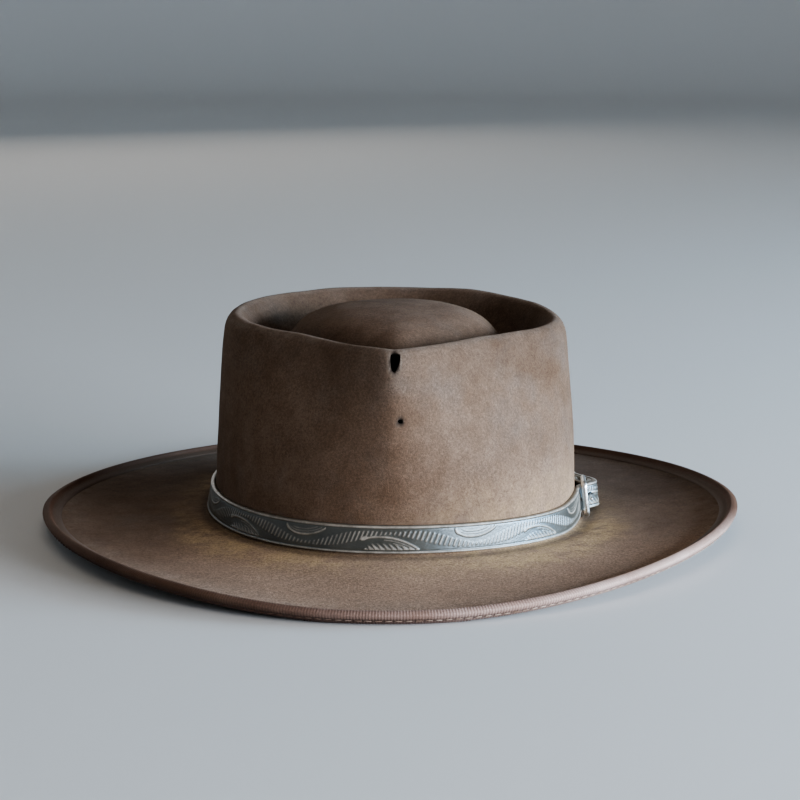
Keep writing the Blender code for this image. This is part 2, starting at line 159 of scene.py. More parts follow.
def smooth_rows(rows, spacing):
    """A smooth skin through rows of places, with new rows about as far apart as the spacing."""
    rows = np.array(rows)
    step = np.linalg.norm(np.diff(rows, axis=0), axis=-1)
    step = step.reshape(len(step), -1).mean(axis=1).reshape(-1, *[1] * (rows.ndim - 1))
    slope = np.diff(rows, axis=0) / step
    before, after = np.concatenate((step[:1], step)), np.concatenate((step, step[-1:]))
    lean = np.concatenate((slope[:1], slope, slope[-1:]))
    lean = (lean[:-1] * after + lean[1:] * before) / (after + before)
    skin = []
    for index in range(len(step)):
        length = float(step[index].flat[0])
        count = max(1, round(length / spacing))
        for u in np.arange(count) / count:
            start = (1 + 2 * u) * (1 - u) ** 2 * rows[index] + u * (1 - u) ** 2 * length * lean[index]
            end = u * u * (3 - 2 * u) * rows[index + 1] + u * u * (u - 1) * length * lean[index + 1]
            skin.append(start + end)
    skin.append(rows[-1])
    return np.array(skin)


def unit(vectors):
    return vectors / np.linalg.norm(vectors, axis=-1, keepdims=True)


def skin_normals(grid):
    """Unit vectors out of the upper face of a skin whose rows are closed loops."""
    along = np.roll(grid, -1, axis=1) - np.roll(grid, 1, axis=1)
    return unit(np.cross(along, np.gradient(grid, axis=0)))


def smoothstep(low, high, value):
    share = np.clip((value - low) / (high - low), 0.0, 1.0)
    return share * share * (3 - 2 * share)


def near(distance, reach):
    """1 at no distance, and almost 0 from about twice the reach."""
    return np.exp(-(distance / reach) ** 2)


def loop_faces(first, count, rows, closed=False):
    """Faces between rows of a grid that is closed along each row."""
    row = first + np.arange(rows if closed else rows - 1)[:, None] * count
    step = np.arange(count)[None, :]
    after = (step + 1) % count
    upper = first + (row - first + count) % (rows * count)
    return np.stack((row + step, row + after, upper + after, upper + step), axis=-1).reshape(-1, 4).tolist()


def fan_faces(first, count, middle, turned=False):
    """Triangles from a closed row to one place in its middle."""
    ring = [first + step for step in range(count)]
    faces = [[place, after, middle] for place, after in zip(ring, ring[1:] + ring[:1])]
    return [[after, place, middle] for place, after, middle in faces] if turned else faces


def add_piece(name, points, faces):
    mesh = bpy.data.meshes.new(name)
    mesh.from_pydata(np.asarray(points).reshape(-1, 3).tolist(), [], faces)
    mesh.update()
    mesh.shade_smooth()
    piece = bpy.data.objects.new(name, mesh)
    bpy.context.collection.objects.link(piece)
    return piece


def plain_mesh(piece):
    """The mesh that a piece's modifiers make of it."""
    return bpy.data.meshes.new_from_object(piece.evaluated_get(bpy.context.evaluated_depsgraph_get()))


def cut_out(piece, cutters):
    """Cuts shapes out of a piece, then takes the cutters away."""
    for cutter in cutters:
        boolean = piece.modifiers.new(cutter.name, "BOOLEAN")
        boolean.operation, boolean.solver, boolean.object = "DIFFERENCE", "EXACT", cutter
    mesh = plain_mesh(piece)
    piece.modifiers.clear()
    piece.data = mesh
    mesh.name = piece.name
    for cutter in cutters:
        bpy.data.objects.remove(cutter, do_unlink=True)


def add_bar(name, length, matrix, sides=40, taper=0.0):
    """A bar of unit radius along z, placed by a matrix. A taper squares it and narrows its lower side."""
    bm = bmesh.new()
    bmesh.ops.create_cone(bm, cap_ends=True, segments=sides, radius1=1.0, radius2=1.0, depth=length)
    if taper:
        for vert in bm.verts:
            vert.co.xy /= (abs(vert.co.x) ** 3 + abs(vert.co.y) ** 3) ** (1 / 3)
            vert.co.x *= 1 + taper * vert.co.y
    bm.transform(matrix)
    mesh = bpy.data.meshes.new(name)
    bm.to_mesh(mesh)
    bm.free()
    bar = bpy.data.objects.new(name, mesh)
    bpy.context.collection.objects.link(bar)
    return bar


def piece_places(piece):
    flat = np.empty(len(piece.data.vertices) * 3)
    piece.data.vertices.foreach_get("co", flat)
    return flat.reshape(-1, 3)


def give_values(piece, name, values):
    layer = piece.data.attributes.new(name, "FLOAT", "POINT")
    layer.data.foreach_set("value", np.asarray(values, dtype=np.float32).ravel())


def waves(points, lengths, seed):
    """Slow unevenness between about -1 and 1, from a few crossed waves of the given lengths."""
    random = np.random.default_rng(seed)
    total = np.zeros(len(points))
    for length in lengths:
        for _ in range(4):
            way = unit(random.normal(size=3))
            total += np.sin(points @ way * 2 * pi / length + random.uniform(0, 2 * pi))
    return total / (2 * len(lengths) * 1.4)


def crown_plan(points):
    """How far places are from the crown's axis in plan, where 1 is the foot's outline."""
    return np.linalg.norm((points - (CROWN_SHIFT, 0, 0))[..., :2] / (BASE[0], BASE[1]), axis=-1)


def brim_reach(points):
    """Distance from the brim's middle in plan, with its width drawn out to its length."""
    return np.linalg.norm(points[..., :2] * (1.09, 1.0), axis=-1)


def hole_ring(points, hole):
    """How far places are from a hole's middle, where 1 is its edge."""
    return np.hypot((points[..., 0] - hole.across) / hole.half_width,
                    (points[..., 2] - hole.height) / hole.half_height)


def uneven(upper):
    """The felt's skin with the slow unevenness of its wall and brim."""
    flat, plan = upper.reshape(-1, 3), crown_plan(upper)
    wall_share = smoothstep(0.030, 0.050, upper[..., 2])
    brim_share = smoothstep(1.14, 1.35, plan) * smoothstep(0.150, 0.125, brim_reach(upper))
    bumps = SLOW_HEIGHT * waves(flat, SLOW_WAVES, 4) + FINE_HEIGHT * waves(flat, FINE_WAVES, 5)
    return upper + skin_normals(upper) * ((wall_share + brim_share) * bumps.reshape(plan.shape))[..., None]


def dented(upper, normals, front_wall):
    """The skin sunk round each hole, with a lip along the hole's left side."""
    for hole in HOLES:
        side = (upper[..., 0] - hole.across) + (upper[..., 2] - hole.height) * np.tan(hole.lean)
        level = (upper[..., 2] - hole.height) / hole.half_height
        away = np.hypot(side / (hole.half_width * DENT_WIDE), level / DENT_TALL)
        from_lip = side + LIP_PLACE * hole.half_width
        lip = LIP_SHARE * hole.dent * near(from_lip, LIP_WIDE * hole.half_width) * near(level, LIP_TALL)
        dent = hole.dent * np.exp(-DENT_SOFTNESS * away ** 2) - lip
        upper = upper - normals * np.where(front_wall, dent, 0.0)[..., None]
    return upper


angles = hat_angles(FELT_COLUMNS)
felt_rows = [roll_row(angles, ROLL_ANGLE * step / ROLL_STEPS) for step in range(ROLL_STEPS, -1, -1)]
felt_rows += [brim_row(angles, *row) for row in BRIM_ROWS]
felt_rows += [wall_row(angles, *row) for row in WALL_ROWS]
felt_rows += [top_row(angles, *row) for row in TOP_ROWS]
smooth = smooth_rows(felt_rows, FELT_ROW_SPACING)[:-1]
upper = uneven(smooth)
upper = dented(upper, skin_normals(smooth), (upper[..., 1] < -0.06) & (crown_plan(smooth) < 1.1))
lower = (upper - FELT * skin_normals(upper))[::2]
dome_top = np.array(((CROWN_SHIFT, 0, CREST + DOME_RISE), (CROWN_SHIFT, 0, CREST + DOME_RISE - FELT)))
points = np.concatenate((upper.reshape(-1, 3), lower.reshape(-1, 3), dome_top))
under, dome_places = upper[..., 0].size, upper[..., 0].size + lower[..., 0].size
faces = loop_faces(0, FELT_COLUMNS, len(upper))
faces += [face[::-1] for face in loop_faces(under, FELT_COLUMNS, len(lower))]
edge = np.arange(FELT_COLUMNS)
edge_after = (edge + 1) % FELT_COLUMNS
faces += np.stack((under + edge, under + edge_after, edge_after, edge), axis=-1).tolist()
faces += fan_faces(under - FELT_COLUMNS, FELT_COLUMNS, dome_places)
faces += fan_faces(dome_places - FELT_COLUMNS, FELT_COLUMNS, dome_places + 1, turned=True)
felt = add_piece("felt_hat", points, faces)

cutter_out = SHOULDER + BASE[1] - RIM[1]
cutter_length = cutter_out + FELT
cutters = []
for hole in HOLES:
    place = Matrix.Translation((hole.across, cutter_length / 2 - RIM[1] - cutter_out, hole.height))
    turn = Matrix.Rotation(hole.lean, 4, "Y") @ Matrix.Rotation(pi / 2, 4, "X")
    size = Matrix.Diagonal((hole.half_width, hole.half_height, 1.0, 1.0))
    cutters.append(add_bar(hole.name, cutter_length, place @ turn @ size, taper=hole.taper))
cut_out(felt, cutters)

spots = piece_places(felt)
x, y, z = spots.T
plan = crown_plan(spots)
on_brim = smoothstep(0.030, 0.020, z) * smoothstep(1.0, 1.02, plan)
on_wall = plan < 1.06
in_front = y < -0.08
rough = 0.5 + 0.5 * waves(spots, (0.030, 0.012, 0.006), 8)
crest_line = top_row(hat_angles(720), *TOP_ROWS[0])[:, :2] - (CROWN_SHIFT, 0)
crest_turns = np.unwrap(np.arctan2(crest_line[:, 0], -crest_line[:, 1]))
turns = np.arctan2(x - CROWN_SHIFT, -y) % (2 * pi)
crest_reach = np.interp(turns, crest_turns, np.linalg.norm(crest_line, axis=1), period=2 * pi)
from_axis = np.hypot(x - CROWN_SHIFT, y) / crest_reach        # 1 on the fold's crest

crest_wear = 0.42 * near(z - 0.1008, 0.0020) * smoothstep(0.95, 0.99, from_axis)
# Painted highlight: a pale strip down the top of the pinched front edge, as where light catches it.
keel_highlight = 0.45 * near(x - CROWN_SHIFT, 0.006) * in_front * smoothstep(0.070, 0.095, z)
edge_wear = 0.35 * smoothstep(0.150, 0.172, brim_reach(spots)) * on_brim
hole_wear = sum(0.80 * near(hole_ring(spots, hole) - 1.25, 0.35) for hole in HOLES) * in_front
# Wear on the fold, the brim's edge and round the holes, with the painted highlight on the pinched front
# edge.
wear_and_highlight = crest_wear + keel_highlight + edge_wear + hole_wear
give_values(felt, "wear_and_highlight", np.clip(wear_and_highlight * (0.55 + 0.75 * rough), 0, 1))

by_strap = near(plan - 1.12, 0.14) * on_brim
dust = 0.30 * by_strap + 0.30 * smoothstep(0.045, 0.022, z) * on_wall * smoothstep(-0.02, 0.05, x)
for across, along, size, strength in STAINS:
    dust += 1.9 * strength * near(np.hypot(x - across, y - along), size) * by_strap
give_values(felt, "dusty", np.clip(dust * (0.45 + 1.0 * rough), 0, 1))

# Painted light: the front of the brim and the lower right of the wall are painted paler, as where the light
# falls on them.
front_brim = on_brim * smoothstep(-0.020, -0.098, y) * smoothstep(-0.150, -0.040, x)
low_right = 0.45 * smoothstep(0.055, 0.022, z) * smoothstep(0.01, 0.07, x) * on_wall
give_values(felt, "painted_light", np.clip((front_brim + low_right) * (0.75 + 0.5 * rough), 0, 1))

# Painted shade: darker in and round the holes, in a ring on the brim at the strap's foot, inside the crown's
# groove and on its dome, and over the back of the brim. The outer wall is also darker towards its top.
in_hole = np.zeros(len(spots))
for hole in HOLES:
    inside = smoothstep(hole.soiled_reach, 0.9, hole_ring(spots, hole))
    in_hole = np.maximum(in_hole, np.where(y < -0.07, inside, 0.0))
in_groove = smoothstep(0.995, 0.95, from_axis) * (z > 0.078)
in_groove *= blend(0.04, 0.42, smoothstep(0.50, 0.68, from_axis))
up_the_wall = 0.08 * smoothstep(0.030, 0.050, z) + 0.18 * smoothstep(0.072, 0.097, z)
up_the_wall *= smoothstep(1.0, 1.01, from_axis)
brim_back = 0.50 * on_brim * smoothstep(-0.03, 0.06, y)
at_strap = 0.50 * near(plan - 1.045, 0.03) * on_brim
soiled = in_hole + at_strap + (in_groove + up_the_wall + brim_back) * (0.8 + 0.4 * rough)
give_values(felt, "soiled", np.clip(soiled, 0, 1))


def new_finish(name):
    """A new material, with its node tree, its shader and the object's own coordinates."""
    finish = bpy.data.materials.new(name)
    finish.use_nodes = True
    tree = finish.node_tree
    return finish, tree, tree.nodes["Principled BSDF"], node(tree, "TexCoord", {}).outputs["Object"]


def node(tree, kind, inputs, **settings):
    """A shader node with its settings, whose inputs are given as values or as other nodes' sockets."""
    return tree_node(tree, "ShaderNode" + kind, inputs, **settings)


def tree_node(tree, kind, inputs, **settings):
    item = tree.nodes.new(kind)
    for name, value in settings.items():
        setattr(item, name, value)
    for socket, value in inputs.items():
        if isinstance(value, bpy.types.NodeSocket):
            tree.links.new(value, item.inputs[socket])
        else:
            item.inputs[socket].default_value = value
    return item


def grain(tree, place, scale, detail=3.0, roughness=0.6):
    inputs = {"Vector": place, "Scale": scale, "Detail": detail, "Roughness": roughness}
    return node(tree, "TexNoise", inputs).outputs["Fac"]


def ramp(tree, value, low, high, start=0.0, end=1.0):
    inputs = {"Value": value, "From Min": low, "From Max": high, "To Min": start, "To Max": end}
    return node(tree, "MapRange", inputs).outputs["Result"]


def product(tree, first, second):
    return node(tree, "Math", {0: first, 1: second}, operation="MULTIPLY").outputs[0]


def mixed(tree, share, first, second, kind="MIX"):
    """Two colours mixed, each given as three numbers or as a socket."""
    first, second = ((*value, 1.0) if isinstance(value, tuple) else value for value in (first, second))
    return node(tree, "Mix", {0: share, 6: first, 7: second}, data_type="RGBA", blend_type=kind).outputs[2]


def piece_value(tree, name):
    return node(tree, "Attribute", {}, attribute_name=name).outputs["Fac"]


def add_relief(tree, shader, height, strength, depth):
    bump = node(tree, "Bump", {"Height": height, "Strength": strength, "Distance": depth})
    tree.links.new(bump.outputs["Normal"], shader.inputs["Normal"])


def set_shader(shader, **values):
    for name, value in values.items():
        shader.inputs[name.replace("_", " ")].default_value = value


felt_finish, tree, shader, place = new_finish("worn_brown_felt")
broad = product(tree, grain(tree, place, 15.0, 3.0, 0.55), 0.5)
patches = product(tree, grain(tree, place, 70.0, 6.0, 0.66), 0.5)
speckle = grain(tree, place, 900.0, 4.0, 0.75)
nap = grain(tree, place, 2600.0, 3.0, 0.7)
tone = node(tree, "Math", {0: broad, 1: patches}, operation="ADD").outputs[0]
colour = mixed(tree, ramp(tree, tone, 0.36, 0.64), (0.118, 0.071, 0.045), (0.190, 0.128, 0.091))
greyed = ramp(tree, grain(tree, place, 40.0, 3.0), 0.50, 0.74, 0.0, 0.4)
colour = mixed(tree, greyed, colour, (0.150, 0.120, 0.100))
# Painted light: paler felt on the front of the brim and the lower right wall, where the light falls.
painted_light = piece_value(tree, "painted_light")
colour = mixed(tree, painted_light, colour, (0.286, 0.187, 0.128))
dust_patches = ramp(tree, grain(tree, place, 85.0, 6.0, 0.75), 0.38, 0.62, 0.12, 1.0)
colour = mixed(tree, product(tree, piece_value(tree, "dusty"), dust_patches), colour, (0.430, 0.295, 0.160))
wear_patches = ramp(tree, grain(tree, place, 110.0, 4.0, 0.6), 0.25, 0.65)
# Worn felt, and the painted highlight of the pinched front edge.
colour = mixed(tree, product(tree, piece_value(tree, "wear_and_highlight"), wear_patches), colour, (0.340, 0.275, 0.225))
# Painted shade, darkest in the holes, in the crown's groove, at the strap's foot and on the back of the
# brim.
colour = mixed(tree, piece_value(tree, "soiled"), colour, (0.030, 0.021, 0.016))
mottle = ramp(tree, grain(tree, place, 210.0, 5.0, 0.7), 0.30, 0.70, 0.91, 1.09)
colour = mixed(tree, 1.0, colour, mottle, "MULTIPLY")
# Where light is painted, the speckle is stronger.
speckle_in_painted_light = ramp(tree, painted_light, 0.0, 0.6, 0.62, 1.0)
colour = mixed(tree, speckle_in_painted_light, colour, ramp(tree, speckle, 0.30, 0.70, 0.55, 1.45), "MULTIPLY")
colour = mixed(tree, 1.0, colour, ramp(tree, nap, 0.30, 0.70, 0.75, 1.25), "MULTIPLY")
tree.links.new(colour, shader.inputs["Base Color"])
height = node(tree, "Math", {0: product(tree, speckle, 0.7), 1: product(tree, nap, 0.5)}, operation="ADD")
add_relief(tree, shader, height.outputs[0], 0.55, 0.00055)
set_shader(shader, Roughness=0.95, Specular_IOR_Level=0.08, Sheen_Weight=0.03, Sheen_Roughness=0.5,
           Sheen_Tint=(0.95, 0.85, 0.78, 1.0))
felt.data.materials.append(felt_finish)
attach(felt, "root")
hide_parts("felt_body")


# Ribbon binding: ribbed ribbon folded over the rolled edge of the brim, sewn through with one row of
# stitches low on its outer face, and pressed flat where the hat rests on its front and back. Its right
# front is painted paler as lit, and its strip below the seam and the hollows between its ribs are painted
# darker as shade.
RIBBON, RIBBON_REACH, GAP = 0.0007, 0.0026, 0.0003
RIBS, COLUMNS_PER_RIB, RIB_DEPTH = 840, 4, 0.00016
RIBBON_ROLL_STEPS = 6
OUTER_EDGE, INNER_EDGE = 0.00030, 0.00006     # the ribbon's two edges are flattened onto the felt
FOLD = ((0.86, 0.50), (0.45, 0.89), (-0.45, 0.89), (-0.86, 0.50))    # out of the upper face, past the tip
SEAM_SINK = (0.00010, 0.00030, 0.00010)
PRESSED_FACE = 0.00012


def lengths_along(line):
    """Length from a line's first place to each of its places."""
    return np.concatenate(([0.0], np.cumsum(np.linalg.norm(np.diff(line, axis=0), axis=1))))


columns = RIBS * COLUMNS_PER_RIB
even_angles = hat_angles(2000)
edge_line = roll_row(even_angles, ROLL_ANGLE)
lengths = lengths_along(np.concatenate((edge_line, edge_line[:1])))
wanted = np.arange(columns) * lengths[-1] / columns
angles = np.interp(wanted, lengths, np.concatenate((even_angles, [2 * pi])))
skin = [roll_row(angles, ROLL_ANGLE * step / RIBBON_ROLL_STEPS) for step in range(RIBBON_ROLL_STEPS, -1, -1)]
skin.append(brim_row(angles, 1.0 - RIBBON_REACH / (BRIM_HALF_WIDTH - BASE[0]), BRIM_ROWS[0][1]))
skin = np.array(skin)
normals = skin_normals(skin)
felt_under = skin - FELT * normals
run = np.roll(skin[0], -1, axis=0) - np.roll(skin[0], 1, axis=0)
tip = -unit(np.cross(normals[0], run))
fold_ways = [out * normals[0] + away * tip for out, away in FOLD]
last = len(skin) - 1
outer_gap = [GAP + RIBBON] * (last - 1) + [GAP + 0.8 * RIBBON, OUTER_EDGE]
inner_gap = [GAP] * last + [INNER_EDGE]
outer_face = [skin[row] + outer_gap[row] * normals[row] for row in range(last, -1, -1)]
outer_face += [(skin[0] if out > 0 else felt_under[0]) + outer_gap[0] * way
               for (out, away), way in zip(FOLD, fold_ways)]
outer_face += [felt_under[row] - outer_gap[row] * normals[row] for row in range(last + 1)]
inner_face = [felt_under[row] - inner_gap[row] * normals[row] for row in (last, 4, 0)]
inner_face += [skin[row] + inner_gap[row] * normals[row] for row in (0, 4, last)]
seam_row = len(skin) + len(FOLD) + 2          # the row of the outer face that the stitches run along
rib_wave = np.cos(np.arange(columns) * 2 * pi / COLUMNS_PER_RIB)
face_out = np.concatenate((normals[::-1], unit(np.array(fold_ways)), -normals))
sink = np.zeros(len(outer_face))
sink[seam_row - 1:seam_row + 2] = SEAM_SINK
relief = RIB_DEPTH * (rib_wave[None, :] - 1) * 0.5 - sink[:, None]
relief[[0, -1]] = 0.0
outer_face = np.array(outer_face) + face_out * relief[..., None]
section = np.concatenate((outer_face, np.array(inner_face)))
height = section[..., 2]
pressed = np.clip(height - PRESSED, 0.0, PRESSED_FACE)
section[..., 2] = np.where(height < PRESSED + PRESSED_FACE, pressed, height)
binding = add_piece("ribbon_binding", section, loop_faces(0, columns, len(section), closed=True))

outer_rows = np.arange(len(outer_face), dtype=float)
rows = np.repeat(np.concatenate((outer_rows, np.full(len(inner_face), outer_rows[-1] / 2))), columns)
give_values(binding, "rib", 0.5 + 0.5 * np.tile(rib_wave, len(section)))
give_values(binding, "seam", near(rows - seam_row, 0.8))
give_values(binding, "inner_face", smoothstep(5.5, 2.5, rows))
give_values(binding, "below_seam", smoothstep(seam_row - 0.9, seam_row + 0.3, rows))
# Painted light: the ribbon's right front is painted paler, as where the light falls on it.
lit_side = smoothstep(-0.10, 0.10, section[..., 0]) * smoothstep(-0.02, -0.095, section[..., 1])
give_values(binding, "painted_light", lit_side)

ribbon_finish, tree, shader, place = new_finish("ribbed_ribbon")
fade = ramp(tree, grain(tree, place, 26.0, 4.0), 0.35, 0.65)
threads = grain(tree, place, 1500.0, 3.0, 0.7)
painted_light = piece_value(tree, "painted_light")
# These paler colours are the painted light on the ribbon's right front.
painted_lit_colour = mixed(tree, fade, (0.410, 0.262, 0.208), (0.600, 0.435, 0.375))
colour = mixed(tree, fade, (0.084, 0.040, 0.024), (0.130, 0.072, 0.046))
colour = mixed(tree, painted_light, colour, painted_lit_colour)
# Painted shade: the strip below the seam is painted darker, less so where light is painted.
shaded_low_strip = product(tree, piece_value(tree, "below_seam"), ramp(tree, painted_light, 0.4, 1.0, 0.75, 0.20))
colour = mixed(tree, shaded_low_strip, colour, (0.085, 0.046, 0.036))
colour = mixed(tree, piece_value(tree, "inner_face"), colour, (0.105, 0.070, 0.050))
# Painted shade in the hollows between the ribs.
shade_between_ribs = ramp(tree, piece_value(tree, "rib"), 0.0, 1.0, 0.32, 0.0)
colour = mixed(tree, shade_between_ribs, colour, (0.045, 0.030, 0.025))
seam_shade = product(tree, piece_value(tree, "seam"), ramp(tree, painted_light, 0.0, 1.0, 0.65, 0.40))
colour = mixed(tree, seam_shade, colour, (0.050, 0.032, 0.026))
colour = mixed(tree, 0.5, colour, ramp(tree, threads, 0.25, 0.75, 0.25, 0.8), "OVERLAY")
tree.links.new(colour, shader.inputs["Base Color"])
add_relief(tree, shader, threads, 0.4, 0.0002)
set_shader(shader, Roughness=0.60, Specular_IOR_Level=0.16, Sheen_Weight=0.04, Sheen_Roughness=0.35,
           Sheen_Tint=(0.95, 0.88, 0.84, 1.0))
binding.data.materials.append(ribbon_finish)
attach(binding, "root")
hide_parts("brim_binding")


# Stitches of the binding: one row of tan thread that holds both faces of the ribbon to the felt. Each
# stitch lies in the dent that it pulls in the ribbon, and they follow the seam all round. The thread is
# painted darker on the hat's left as shade.
STITCH_PITCH, STITCH_LENGTH, THREAD_RADIUS, THREAD_OUT = 0.0042, 0.0030, 0.00021, 0.00033


def seam_curve(name, line):
    curve = bpy.data.curves.new(name, "CURVE")
    curve.dimensions = "3D"
    spline = curve.splines.new("POLY")
    spline.points.add(len(line) - 1)
    spline.points.foreach_set("co", np.concatenate((line, np.ones((len(line), 1))), axis=1).ravel())
    spline.use_cyclic_u = True
    piece = bpy.data.objects.new(name, curve)
    bpy.context.collection.objects.link(piece)
    return piece


def stitch_tree():
    """Thread stitches, end to end along a curve with a gap between them."""
    tree = bpy.data.node_groups.new("stitch_row", "GeometryNodeTree")
    sockets = tree.interface
    sockets.new_socket("Geometry", in_out="INPUT", socket_type="NodeSocketGeometry")
    for name in ("Pitch", "Stitch Length", "Thread Radius"):
        sockets.new_socket(name, in_out="INPUT", socket_type="NodeSocketFloat")
    sockets.new_socket("Thread", in_out="INPUT", socket_type="NodeSocketMaterial")
    sockets.new_socket("Geometry", in_out="OUTPUT", socket_type="NodeSocketGeometry")
    given = tree.nodes.new("NodeGroupInput").outputs

    def step(kind, inputs, **settings):
        return tree_node(tree, kind, inputs, **settings).outputs[0]

    seam = {"Curve": given["Geometry"], "Length": given["Pitch"]}
    along = step("GeometryNodeResampleCurve", seam, mode="LENGTH")
    thread = step("GeometryNodeMeshUVSphere", {"Segments": 8, "Rings": 6, "Radius": 1.0})
    half = step("ShaderNodeMath", {0: given["Stitch Length"], 1: 0.5}, operation="MULTIPLY")
    radius = given["Thread Radius"]
    size = step("ShaderNodeCombineXYZ", {"X": radius, "Y": radius, "Z": half})
    stitch = step("GeometryNodeTransform", {"Geometry": thread, "Scale": size})
    way = step("GeometryNodeInputTangent", {})
    turn = step("FunctionNodeAlignRotationToVector", {"Vector": way}, axis="Z")
    loose = {"Min": (-0.16, -0.05, 0.0), "Max": (0.16, 0.05, 0.0), "Seed": 7}
    wobble = step("FunctionNodeRandomValue", loose, data_type="FLOAT_VECTOR")
    row = step("GeometryNodeInstanceOnPoints", {"Points": along, "Instance": stitch, "Rotation": turn})
    row = step("GeometryNodeRotateInstances", {"Instances": row, "Rotation": wobble})
    row = step("GeometryNodeRealizeInstances", {"Geometry": row})
    row = step("GeometryNodeSetShadeSmooth", {"Geometry": row})
    row = step("GeometryNodeSetMaterial", {"Geometry": row, "Material": given["Thread"]})
    result = tree.nodes.new("NodeGroupOutput")
    tree.links.new(row, result.inputs["Geometry"])
    return tree


thread_finish, tree, shader, place = new_finish("tan_thread")
thread_tone = ramp(tree, grain(tree, place, 160.0, 4.0), 0.35, 0.65)
colour = mixed(tree, thread_tone, (0.270, 0.175, 0.120), (0.520, 0.400, 0.320))
# Painted shade: the thread is painted darker on the hat's left.
shaded_left = ramp(tree, node(tree, "SeparateXYZ", {0: place}).outputs["X"], 0.010, -0.050)
colour = mixed(tree, shaded_left, colour, (0.100, 0.052, 0.034))
tree.links.new(colour, shader.inputs["Base Color"])
set_shader(shader, Roughness=0.6, Specular_IOR_Level=0.3)

seam_line = (outer_face[seam_row] + face_out[seam_row] * THREAD_OUT)[::6]
seam_guide = seam_curve("seam_guide", seam_line)
stitching = seam_guide.modifiers.new("stitches", "NODES")
stitching.node_group = stitch_tree()
thread_sizes = {"Pitch": STITCH_PITCH, "Stitch Length": STITCH_LENGTH, "Thread Radius": THREAD_RADIUS,
                "Thread": thread_finish}
for item in stitching.node_group.interface.items_tree:
    if item.in_out == "INPUT" and item.name in thread_sizes:
        stitching[item.identifier] = thread_sizes[item.name]
stitches = bpy.data.objects.new("binding_stitches", plain_mesh(seam_guide))
bpy.data.objects.remove(seam_guide, do_unlink=True)
bpy.context.collection.objects.link(stitches)
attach(stitches, "root")


# Hatband: one strap of tooled leather round the foot of the crown. Its end is folded back round the
# buckle's heel bar, and its free end comes out through the buckle. The face has two smooth borders and a
# running vine of slanted bars that bends round ribbed leaves, dark in the ground and rubbed pale on top.
STRAP, STRAP_HEIGHT, STRAP_LIFT = 0.0020, 0.0122, 0.0010
BUCKLE_LIFT, BUCKLE_LIFT_REACH = 0.0024, 0.50
STRAP_TAIL, STRAP_FREE_END, STRAP_SETTLE, FOLD_PLAY = 0.0090, 0.0300, 0.0090, 0.0010
BUCKLE_LENGTH, BUCKLE_WIRE, BUCKLE_BEHIND = 0.0178, 0.0024, -0.0045
PRONG_WIRE, SLOT_PLAY, HOLE_PLAY = 0.0017, 0.0004, 1.15
SECTION_SPACING, STRAP_ROW_SPACING, STRAP_COLUMNS = 0.0070, 0.00036, 36
FOLD_RADIUS = BUCKLE_WIRE / 2 + FOLD_PLAY + STRAP / 2
FLAT = GAP + STRAP / 2
BAR_OUT = FLAT + FOLD_RADIUS
DOUBLED = FLAT + 2 * FOLD_RADIUS
LAYER = STRAP + GAP
BAR_SPAN = BUCKLE_LENGTH - BUCKLE_WIRE
POINTED_END = ((0.15, 1.0), (0.09, 0.95), (0.04, 0.80), (0.01, 0.55), (0.0, 0.30))    # length left, height


def behind(distance, lap=0):
    """Angle of a place on the right of the crown, by its distance behind the middle."""
    return pi / 2 + distance / BASE[1] + 2 * pi * lap


def strap_lift(angle):
    away = (angle - behind(BUCKLE_BEHIND) + pi) % (2 * pi) - pi
    return STRAP_LIFT + BUCKLE_LIFT * np.maximum(0.0, 1 - (away / BUCKLE_LIFT_REACH) ** 2) ** 2


def wall_at(angle, height):
    """Place on the crown's wall at a height above the brim."""
    rises = np.array([row[0] for row in WALL_ROWS])
    rows = np.array([wall_row(np.array([angle]), *row)[0] for row in WALL_ROWS])
    rise = height / (around(RIM_HEIGHT, angle) - around(FOOT_HEIGHT, angle))
    return np.array([np.interp(rise, rises, rows[:, axis]) for axis in range(3)])


def outward(angle):
    middle = strap_lift(angle) + STRAP_HEIGHT / 2
    run = wall_at(angle + radians(1), middle) - wall_at(angle - radians(1), middle)
    return unit(np.array((run[1], -run[0], 0.0)))


def over_heel(heel, clear):
    """The strap's way over the heel bar's fold and down onto the wall: (distance behind, out)."""
    later = 0.5 * clear
    return [
        (heel, DOUBLED + clear),
        (heel + STRAP_TAIL * 0.50 + later, blend(FLAT + LAYER, DOUBLED, 0.70) + clear),
        (heel + STRAP_TAIL * 1.05 + later, FLAT + LAYER * 1.04 + clear),
        (heel + STRAP_TAIL + STRAP_SETTLE * 0.55 + later, FLAT + LAYER * 0.30 + clear),
        (heel + STRAP_TAIL + STRAP_SETTLE, FLAT + clear),
    ]


